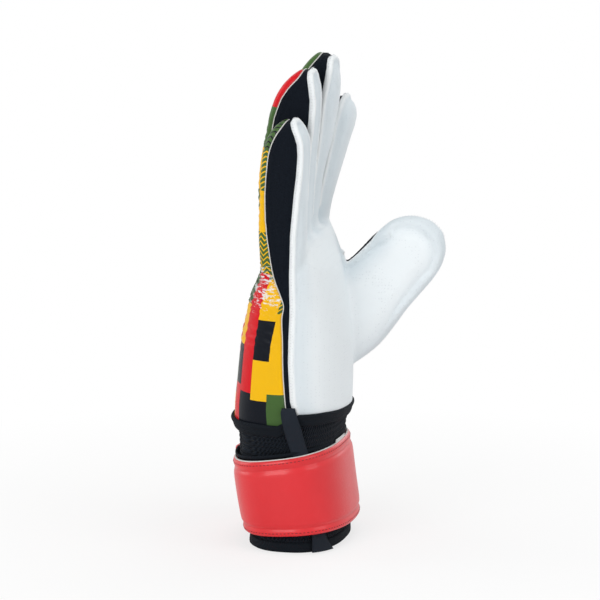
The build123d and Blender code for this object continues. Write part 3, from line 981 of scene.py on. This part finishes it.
def tab_and_label():
    rows = resample(TAB_ROWS, 1.0)[::-1]
    path = [(side_angle(left, z), side_angle(right, z), z, out) for z, left, right, out in rows]
    wrist_piece("seam_strip", strip(path, TAB_THICKNESS), "webbing", ["seam_tab"])
    path = [(*LABEL_ANGLES, z, 0.5 + 0.7 * smoothstep(56, 62, z)) for z in np.arange(*LABEL_HEIGHTS)]
    wrist_piece("blank_label", strip(path, LABEL_THICKNESS), "label", ["care_label"])


def strap_pieces():
    """The band once round and up its ramp, the tail over it, the lining, the rim cord and the patches."""
    ramp = np.arange(RAMP_START - 360, TAIL_ROOT - 346, -TURN)
    band = np.concatenate([np.arange(TAIL_ROOT, RAMP_START - 361, -TURN), ramp[1:]])
    lift = TAIL_LIFT * smoothstep(360 - RAMP_START, 360 - TAIL_ROOT - 6, -band)
    flatness = UNDER_TAIL * smoothstep(74, 82, band)
    profile = refine(STRAP_PROFILE, 0.9)
    shape = sweep(band, profile, strap_point, lift, 1 - flatness)
    replaced = ["strap_band", "strap_top_edge", "strap_bottom_edge"]
    wrist_piece("strap_wrap", shape, "strap", replaced)
    shape = sweep(np.arange(TAIL_ROOT - 345, TAIL_TIP - 361, -TURN), profile, strap_point, TAIL_LIFT)
    replaced = ["tail_band", "tail_top_edge", "tail_bottom_edge"]
    wrist_piece("strap_tail_end", shape, "strap", replaced, "strap_tail")
    shape = sweep(np.arange(TAIL_ROOT, RAMP_START - 365, -TURN), refine(LIP_PROFILE, 1.0), strap_point)
    wrist_piece("strap_underside", shape, "binding", ["strap_lining"])
    rim = np.radians(np.arange(0, 360, 45))
    outline = np.array(RIM_CORD) + np.column_stack([0.45 * np.sin(rim), 0.6 * np.cos(rim)])
    shape = sweep(np.arange(RAMP_START - 360, 100, TURN), outline, strap_point)
    wrist_piece("strap_rim_cord", shape, "piping")
    for name, span, low, high in PATCHES:
        outline = refine([(-14.5, low), (-15.0, high), (15.0, high), (14.5, low)], 0.8)
        shape = sweep(np.arange(*span, TURN), outline, strap_point)
        slot, body = ("loop_pile", "hand") if name == "loop" else ("hook_tape", "strap_tail")
        wrist_piece(f"{name}_side", shape, name, [f"{name}_patch"], body=body)


def strap_stitches():
    """Dark red stitches along both flanges of the strap."""
    for body, first, last, lift in (
        ("hand", 78.0, 30 - RAMP_START, 0.0),
        ("strap_tail", TAIL_ROOT - 2, TAIL_TIP + 3, TAIL_LIFT),
    ):
        angles = np.arange(first, last, -0.5)
        shapes = []
        for height, out in STRAP_SEAMS:
            line = strap_point(angles, height, out + lift)
            outer = strap_point(angles, height, out + lift + 1)
            line, _ = even_line(np.hstack([line, outer - line]), RED_PITCH, 0)
            ahead = unit(np.gradient(line[:, :3], axis=0))
            shapes += [stitch(p[:3], a, unit(p[3:]), STITCH_LENGTH, RED_RADIUS) for p, a in zip(line, ahead)]
        wrist_piece(f"{body}_strap_stitches", join(shapes), "red thread", body=body)


# ---- finishes ----
def plug(tree, socket, value):
    """Sets an input, or links it to another node's output."""
    if isinstance(value, bpy.types.NodeSocket):
        tree.links.new(value, socket)
    else:
        socket.default_value = value


def add(tree, kind, inputs=None, **settings):
    """A shader node with its settings and inputs, which are values or other nodes' outputs."""
    node = tree.nodes.new(kind)
    for key, value in settings.items():
        setattr(node, key, value)
    for key, value in (inputs or {}).items():
        plug(tree, node.inputs[key], value)
    return node


def calc(tree, operation, *values):
    return add(tree, "ShaderNodeMath", dict(enumerate(values)), operation=operation).outputs[0]


def times(tree, a, b):
    return calc(tree, "MULTIPLY", a, b)


def mix(tree, share, a, b):
    """A colour between two others."""
    return add(tree, "ShaderNodeMix", {0: share, 6: a, 7: b}, data_type="RGBA").outputs[2]


def remap(tree, value, low, high, start=0.0, end=1.0, kind="LINEAR"):
    """Carries low to high over to start to end."""
    inputs = {"Value": value, "From Min": low, "From Max": high, "To Min": start, "To Max": end}
    return add(tree, "ShaderNodeMapRange", inputs, interpolation_type=kind).outputs["Result"]


def noise(tree, place, scale, detail, **more):
    inputs = {"Vector": place, "Scale": scale, "Detail": detail, **more}
    return add(tree, "ShaderNodeTexNoise", inputs).outputs["Fac"]


def split(tree, vector):
    return add(tree, "ShaderNodeSeparateXYZ", {0: vector}).outputs


def attribute(tree, name):
    return add(tree, "ShaderNodeAttribute", attribute_name=name).outputs


FLOAT, VECTOR, COLOUR = "NodeSocketFloat", "NodeSocketVector", "NodeSocketColor"


def group(name, outputs, **inputs):
    """A shared effect: its tree, what it is given and what it gives. An input without a number is a place."""
    tree = bpy.data.node_groups.new(name, "ShaderNodeTree")
    for label, value in inputs.items():
        if value is None:
            tree.interface.new_socket(label, in_out="INPUT", socket_type=VECTOR)
        else:
            tree.interface.new_socket(label, in_out="INPUT", socket_type=FLOAT).default_value = value
    for label, kind in outputs.items():
        tree.interface.new_socket(label, in_out="OUTPUT", socket_type=kind)
    return tree, tree.nodes.new("NodeGroupInput").outputs, tree.nodes.new("NodeGroupOutput").inputs


def use(tree, name, **inputs):
    """What one of the shared effects gives, with its inputs set."""
    return add(tree, "ShaderNodeGroup", inputs, node_tree=GROUPS[name]).outputs


def grain_group():
    """Fine uneven grain, and slower cloudy patches."""
    tree, given, out = group("surface grain", {"Grain": FLOAT, "Clouds": FLOAT}, Place=None, Size=0.001)
    scale = calc(tree, "DIVIDE", 1.0, given["Size"])
    tree.links.new(noise(tree, given["Place"], scale, 4.0, Roughness=0.6), out["Grain"])
    tree.links.new(noise(tree, given["Place"], times(tree, scale, 0.05), 3.0), out["Clouds"])
    return tree


def weave_group():
    """Slanted courses of knitted loops."""
    tree, given, out = group("knit", {"Loops": FLOAT}, Place=None, Pitch=0.0016)
    x, y, z = split(tree, given["Place"])
    turn = calc(tree, "DIVIDE", 6.2832, given["Pitch"])
    side = calc(tree, "ADD", x, times(tree, y, 0.9))
    up = times(tree, z, turn)
    slant = calc(tree, "ADD", times(tree, side, turn), times(tree, calc(tree, "SINE", up), 0.9))
    courses = calc(tree, "SINE", times(tree, up, 0.5))
    tree.links.new(times(tree, calc(tree, "SINE", slant), courses), out["Loops"])
    return tree


def crease_highlight_group():
    """Short pale strokes painted as highlights where a glossy film has been crumpled; they fade away from the
    knuckles and are strongest on the little finger's side.
    """
    tree, given, out = group("painted crease highlights", {"Mask": FLOAT}, Place=None)
    _, y, z = split(tree, given["Place"])
    away = calc(tree, "ABSOLUTE", calc(tree, "SUBTRACT", z, 0.157))
    zone = remap(tree, away, 0.006, 0.026, 1.0, 0.0, "SMOOTHSTEP")
    zone = times(tree, zone, remap(tree, y, -0.034, -0.014, 1.0, 0.1))
    stretch = {"Vector": given["Place"], "Rotation": (0, 0.55, 0), "Scale": (0.8, 0.5, 2.2)}
    stretched = add(tree, "ShaderNodeMapping", stretch).outputs["Vector"]
    film = noise(tree, stretched, 330.0, 3.0, Roughness=0.65, Distortion=0.8)
    level = calc(tree, "SUBTRACT", 0.76, times(tree, zone, 0.24))
    strokes = remap(tree, calc(tree, "SUBTRACT", film, level), 0.0, 0.045)
    tree.links.new(times(tree, strokes, times(tree, zone, 0.9)), out["Mask"])
    return tree


def edge_group():
    """How near a seam a point lies, broken up a little: 1 on the seam, 0 beyond its width."""
    tree, given, out = group("seam wear", {"Mask": FLOAT}, Edge=0.01, Width=0.002, Place=None)
    near = calc(tree, "SUBTRACT", 1.0, calc(tree, "DIVIDE", given["Edge"], given["Width"]))
    uneven = calc(tree, "ADD", noise(tree, given["Place"], 400.0, 3.0), 0.4)
    tree.links.new(times(tree, calc(tree, "MAXIMUM", near, 0.0), uneven), out["Mask"])
    return tree


YELLOW = (0.96, 0.53, 0.004, 1)
RED = (0.70, 0.006, 0.013, 1)
GREEN = (0.062, 0.135, 0.034, 1)
INK = (0.003, 0.005, 0.010, 1)
# In millimetres of flat cloth.
PATCH_WIDTH, PATCH_HEIGHT = 13.5, 24.0
CHEVRON_WIDTH, CHEVRON_RISE, CHEVRON_PITCH = 6.2, 5.0, 2.9


def patchwork_group():
    """Staggered patches of plain colour and of fine chevrons; Place is in millimetres of flat cloth."""
    tree, given, out = group("patchwork", {"Colour": COLOUR}, Place=None)
    u, v, _ = split(tree, given["Place"])
    wave = times(tree, calc(tree, "SINE", times(tree, u, 0.33)), 1.7)
    column = calc(tree, "FLOOR", calc(tree, "DIVIDE", calc(tree, "ADD", u, wave), PATCH_WIDTH))
    white = add(tree, "ShaderNodeTexWhiteNoise", {"W": calc(tree, "ADD", column, 3.7)}, noise_dimensions="1D")
    along = calc(tree, "ADD", v, times(tree, white.outputs["Value"], 37.0))
    bent = calc(tree, "ADD", along, times(tree, calc(tree, "SINE", times(tree, along, 0.27)), 2.4))
    row = calc(tree, "FLOOR", calc(tree, "DIVIDE", bent, PATCH_HEIGHT))
    cell = add(tree, "ShaderNodeCombineXYZ", {0: column, 1: row, 2: 23.0}).outputs[0]
    dice = add(tree, "ShaderNodeTexWhiteNoise", {"Vector": cell}, noise_dimensions="3D").outputs["Color"]
    first, second, third = split(tree, dice)
    ramp = add(tree, "ShaderNodeValToRGB", {0: first})
    ramp.color_ramp.interpolation = "CONSTANT"
    for k, (at, colour) in enumerate(((0.0, YELLOW), (0.36, RED), (0.58, INK), (0.8, GREEN))):
        stop = ramp.color_ramp.elements[k] if k < 2 else ramp.color_ramp.elements.new(at)
        stop.position, stop.color = at, colour
    folded = calc(tree, "FRACT", calc(tree, "DIVIDE", u, CHEVRON_WIDTH))
    fold = calc(tree, "ABSOLUTE", calc(tree, "SUBTRACT", folded, 0.5))
    rise = calc(tree, "ADD", v, times(tree, fold, CHEVRON_RISE))
    line = calc(tree, "LESS_THAN", calc(tree, "FRACT", calc(tree, "DIVIDE", rise, CHEVRON_PITCH)), 0.30)
    chosen = calc(tree, "GREATER_THAN", second, 0.62)
    yarn = mix(tree, calc(tree, "GREATER_THAN", third, 0.45), INK, YELLOW)
    ground = mix(tree, chosen, ramp.outputs["Color"], GREEN)
    tree.links.new(mix(tree, times(tree, line, chosen), ground, yarn), out["Colour"])
    return tree


def surface(name, inputs):
    """A material with one Principled shader; returns its tree and the shader too."""
    material = bpy.data.materials.new(name)
    material.use_nodes = True
    shader = material.node_tree.nodes["Principled BSDF"]
    for key, value in inputs.items():
        shader.inputs[key].default_value = value
    return material, material.node_tree, shader


def finished(name, inputs, look, *given):
    """A material whose look makes a colour, a height with its depth and, at times, a roughness of a place."""
    material, tree, shader = surface(name, inputs)
    colour, height, depth, *rough = look(tree, attribute(tree, "rest")["Vector"], *given)
    bump = add(tree, "ShaderNodeBump", {"Height": height, "Distance": depth, "Strength": 1.0})
    for key, value in zip(("Base Color", "Normal", "Roughness"), (colour, bump.outputs["Normal"], *rough)):
        tree.links.new(value, shader.inputs[key])
    return material


def latex_look(tree, place):
    grain = use(tree, "grain", Place=place, Size=0.0011)
    edge = attribute(tree, "edge")["Fac"]
    wear = use(tree, "edge", Edge=edge, Width=0.0012, Place=place)["Mask"]
    pores = add(tree, "ShaderNodeTexVoronoi", {"Vector": place, "Scale": 520.0, "Randomness": 0.35})
    dots = calc(tree, "LESS_THAN", pores.outputs["Distance"], 0.16)
    # Painted light and shade on the latex: the flats are painted darker, as painted shade, with a cloudy tone
    # that differs at random; far from the seams, over the palm's middle, they turn lighter as painted light;
    # and the rolled lip along each seam is painted lighter still, as a painted highlight.
    shaded_flats = mix(tree, grain["Clouds"], (0.70, 0.77, 0.81, 1), (0.77, 0.83, 0.86, 1))
    lit_palm_share = remap(tree, edge, 0.007, 0.018, kind="SMOOTHSTEP")
    lip = remap(tree, edge, 0.0026, 0.0042, 1.0, 0.0, "SMOOTHSTEP")
    plain = mix(tree, lip, mix(tree, lit_palm_share, shaded_flats, (0.86, 0.905, 0.925, 1)), (0.90, 0.93, 0.94, 1))
    dotted = mix(tree, times(tree, dots, 0.22), plain, (0.45, 0.50, 0.56, 1))
    colour = mix(tree, times(tree, wear, 0.5), dotted, (0.42, 0.45, 0.48, 1))
    return colour, calc(tree, "SUBTRACT", grain["Grain"], times(tree, dots, 0.6)), 0.00018


def print_look(tree, place):
    patches = use(tree, "patchwork", Place=attribute(tree, "cloth")["Vector"])["Colour"]
    grain = use(tree, "grain", Place=place, Size=0.0009)
    wear = use(tree, "edge", Edge=attribute(tree, "edge")["Fac"], Width=0.0014, Place=place)["Mask"]
    tint = mix(tree, times(tree, grain["Clouds"], 0.14), patches, (0.02, 0.02, 0.025, 1))
    worn = mix(tree, times(tree, wear, 0.35), tint, (0.10, 0.10, 0.10, 1))
    # Painted highlights: pale strokes over the crumpled glossy film of the back, where the glossy print would
    # mirror the lamps.
    colour = mix(tree, use(tree, "crease_highlights", Place=place)["Mask"], worn, (0.83, 0.85, 0.86, 1))
    return colour, grain["Grain"], 0.00012, calc(tree, "ADD", 0.24, times(tree, grain["Grain"], 0.22))


def fleece_look(tree, place):
    grain = use(tree, "grain", Place=place, Size=0.0007)["Grain"]
    return mix(tree, grain, (0.0012, 0.0022, 0.0042, 1), (0.010, 0.0145, 0.023, 1)), grain, 0.0005


def knit_look(tree, place):
    loops = use(tree, "weave", Place=place, Pitch=0.0021)["Loops"]
    grain = use(tree, "grain", Place=place, Size=0.0006)["Grain"]
    # The crests of the loops are painted lighter and the hollows between them darker, as painted light and
    # shade on the knit.
    lit = calc(tree, "MULTIPLY_ADD", loops, 0.3, 0.5)
    colour = mix(tree, lit, (0.0004, 0.0009, 0.0020, 1), (0.0140, 0.0195, 0.029, 1))
    return colour, calc(tree, "ADD", loops, times(tree, grain, 0.5)), 0.0006


def strap_look(tree, place):
    grain = use(tree, "grain", Place=place, Size=0.0013)
    colour = mix(tree, grain["Clouds"], (0.66, 0.008, 0.014, 1), (0.78, 0.018, 0.026, 1))
    return colour, grain["Grain"], 0.00008, calc(tree, "ADD", 0.28, times(tree, grain["Grain"], 0.2))


def tape_look(tree, place, dark, light, pitch):
    loops = use(tree, "weave", Place=place, Pitch=pitch)["Loops"]
    # The crests of the loops are painted lighter and the hollows between them darker, as painted light and
    # shade on the weave.
    return mix(tree, calc(tree, "MULTIPLY_ADD", loops, 0.35, 0.5), dark, light), loops, 0.00015


def thread_look(tree, place, colour):
    grain = use(tree, "grain", Place=place, Size=0.0005)["Grain"]
    return mix(tree, grain, tuple(0.7 * c for c in colour[:3]) + (1,), colour), grain, 0.0001


def tape(name, dark, light, pitch=0.0011, roughness=0.8):
    return finished(name, {"Roughness": roughness, "Specular IOR Level": 0.12}, tape_look, dark, light, pitch)


def thread(name, colour, roughness=0.7):
    return finished(name, {"Roughness": roughness}, thread_look, colour)


GROUPS = {
    "crease_highlights": crease_highlight_group(),
    "grain": grain_group(),
    "weave": weave_group(),
    "edge": edge_group(),
    "patchwork": patchwork_group(),
}
PRINT_GLOSS = {"Specular IOR Level": 0.1, "Coat Weight": 0.05, "Coat Roughness": 0.15}
FLEECE_PILE = {"Roughness": 0.92, "Sheen Weight": 0.04, "Sheen Roughness": 0.5, "Specular IOR Level": 0.08}
KNIT_PILE = {"Roughness": 0.88, "Sheen Weight": 0.03, "Specular IOR Level": 0.08}
STRAP_GLOSS = {"Specular IOR Level": 0.4, "Coat Weight": 0.3, "Coat Roughness": 0.12}
MATERIALS = {
    "latex": finished("latex foam", {"Roughness": 0.72, "Specular IOR Level": 0.35}, latex_look),
    "print": finished("printed back", PRINT_GLOSS, print_look),
    "gusset": finished("fleecy gusset", FLEECE_PILE, fleece_look),
    "knit": finished("elastic knit", KNIT_PILE, knit_look),
    "binding": tape("binding tape", (0.0016, 0.0026, 0.0046, 1), (0.010, 0.0145, 0.021, 1)),
    "webbing": tape("smooth webbing", (0.008, 0.0115, 0.018, 1), (0.025, 0.033, 0.046, 1), 0.0008, 0.7),
    "strap": finished("glossy strap", STRAP_GLOSS, strap_look),
    "piping": thread("pale piping", (0.78, 0.77, 0.74, 1)),
    "white thread": thread("white thread", (0.88, 0.91, 0.93, 1)),
    "red thread": thread("dark red thread", (0.22, 0.006, 0.010, 1)),
    "label": thread("label cloth", (0.80, 0.81, 0.80, 1)),
    "lining": tape("lining cloth", (0.006, 0.007, 0.010, 1), (0.016, 0.018, 0.024, 1), 0.0018, 0.9),
    "loop": thread("loop pile", (0.012, 0.013, 0.017, 1), 0.95),
    "hook": thread("hook tape", (0.010, 0.011, 0.014, 1), 0.5),
}
# Which nodes of model.glb the panels of each kind on each body stand for.
REPLACED = {
    ("hand", "latex"): ["palm_latex"],
    ("hand", "print"): ["backhand", "thumb_root_back"],
    ("hand", "gusset"): ["ulnar_gusset", "radial_gusset", "crotch_web"],
}
for digit in DIGITS:
    for kind, node in (("latex", "latex"), ("print", "back"), ("gusset", "gusset")):
        REPLACED[digit, kind] = [f"{digit}_{node}"]


# ---- studio ----
VIEW_TURN, VIEW_RISE = math.radians(14), math.radians(12)  # off the little finger's side, and from above
VIEW_TARGET, VIEW_DISTANCE, VIEW_LENS = np.array((0.0009, 0.0, 0.1401)), 3.082, 320
FLOOR_SPAN, FLOOR_DROP = 4, 0.0006
# Name, place, size, power and tint; all of them aim at the glove's middle.
LAMPS = [
    ("key", (-0.5, -1.9, 0.8), 1.2, 16.0, (1, 1, 1)),
    ("palm side", (1.8, -0.6, 1.0), 1.2, 7.5, (0.97, 0.985, 1)),
    ("over", (0.3, -0.2, 1.8), 0.9, 7.0, (1, 1, 1)),
    ("left", (-1.7, 0.1, 0.6), 1.0, 6.0, (1, 1, 1)),
    ("back", (0.5, 1.6, 0.9), 1.2, 6.0, (0.95, 0.98, 1)),
]
LAMP_AIM = Vector((0, 0, 0.14))
WORLD_LEVEL = 0.4  # how bright the world is to all but the camera and mirrors


def studio():
    """Camera, floor, lamps and a white world."""
    scene = bpy.context.scene
    scene.view_settings.view_transform = "Standard"
    level, rise = math.cos(VIEW_RISE), math.sin(VIEW_RISE)
    look = np.array((-math.sin(VIEW_TURN) * level, math.cos(VIEW_TURN) * level, -rise))
    camera = in_scene("camera", bpy.data.cameras.new("camera"))
    camera.data.lens = VIEW_LENS
    camera.data.clip_end = 20
    camera.location = VIEW_TARGET - look * VIEW_DISTANCE
    camera.rotation_euler = (math.pi / 2 - VIEW_RISE, 0, VIEW_TURN)
    scene.camera = camera
    corners = [(x * FLOOR_SPAN, y * FLOOR_SPAN, -FLOOR_DROP) for x, y in ((-1, -1), (1, -1), (1, 1), (-1, 1))]
    floor = in_scene("floor", blender_mesh("floor", corners, [(0, 1, 2, 3)]))
    floor.data.materials.append(floor_material())
    for name, place, size, power, tint in LAMPS:
        lamp = bpy.data.lights.new(name, "AREA")
        lamp.size, lamp.energy, lamp.color = size, power, tint
        holder = in_scene(name, lamp)
        holder.location = place
        holder.rotation_euler = (LAMP_AIM - Vector(place)).to_track_quat("-Z", "Y").to_euler()
    world = bpy.data.worlds.new("studio")
    scene.world = world
    world.use_nodes = True
    tree = world.node_tree
    path = add(tree, "ShaderNodeLightPath").outputs
    seen = calc(tree, "MAXIMUM", path["Is Camera Ray"], path["Is Transmission Ray"])
    bright = calc(tree, "MAXIMUM", seen, times(tree, path["Is Glossy Ray"], 0.9))
    background = tree.nodes["Background"].inputs
    background["Color"].default_value = (1, 1, 1, 1)
    strength = calc(tree, "MULTIPLY_ADD", bright, 1.0 - WORLD_LEVEL, WORLD_LEVEL)
    tree.links.new(strength, background["Strength"])


def floor_material():
    """White to the camera, a little darker round the glove's foot."""
    dull = {"Base Color": (0.93, 0.93, 0.93, 1), "Roughness": 0.9, "Specular IOR Level": 0.1}
    material, tree, shader = surface("floor", dull)
    path = add(tree, "ShaderNodeLightPath").outputs
    glow = add(tree, "ShaderNodeEmission", {"Color": (1, 1, 1, 1), "Strength": 1.0}).outputs[0]
    place = add(tree, "ShaderNodeNewGeometry").outputs["Position"]
    away = add(tree, "ShaderNodeVectorMath", {0: place}, operation="LENGTH").outputs["Value"]
    white = times(tree, path["Is Camera Ray"], remap(tree, away, 0.08, 0.34, 0.72, 1.0))
    both = add(tree, "ShaderNodeMixShader", {0: white, 1: shader.outputs[0], 2: glow})
    tree.links.new(both.outputs[0], tree.nodes["Material Output"].inputs["Surface"])
    return material


# ---- making ----
studio()
build_skin()
build_linings()
wrist_pieces()

bpy.context.view_layer.update()
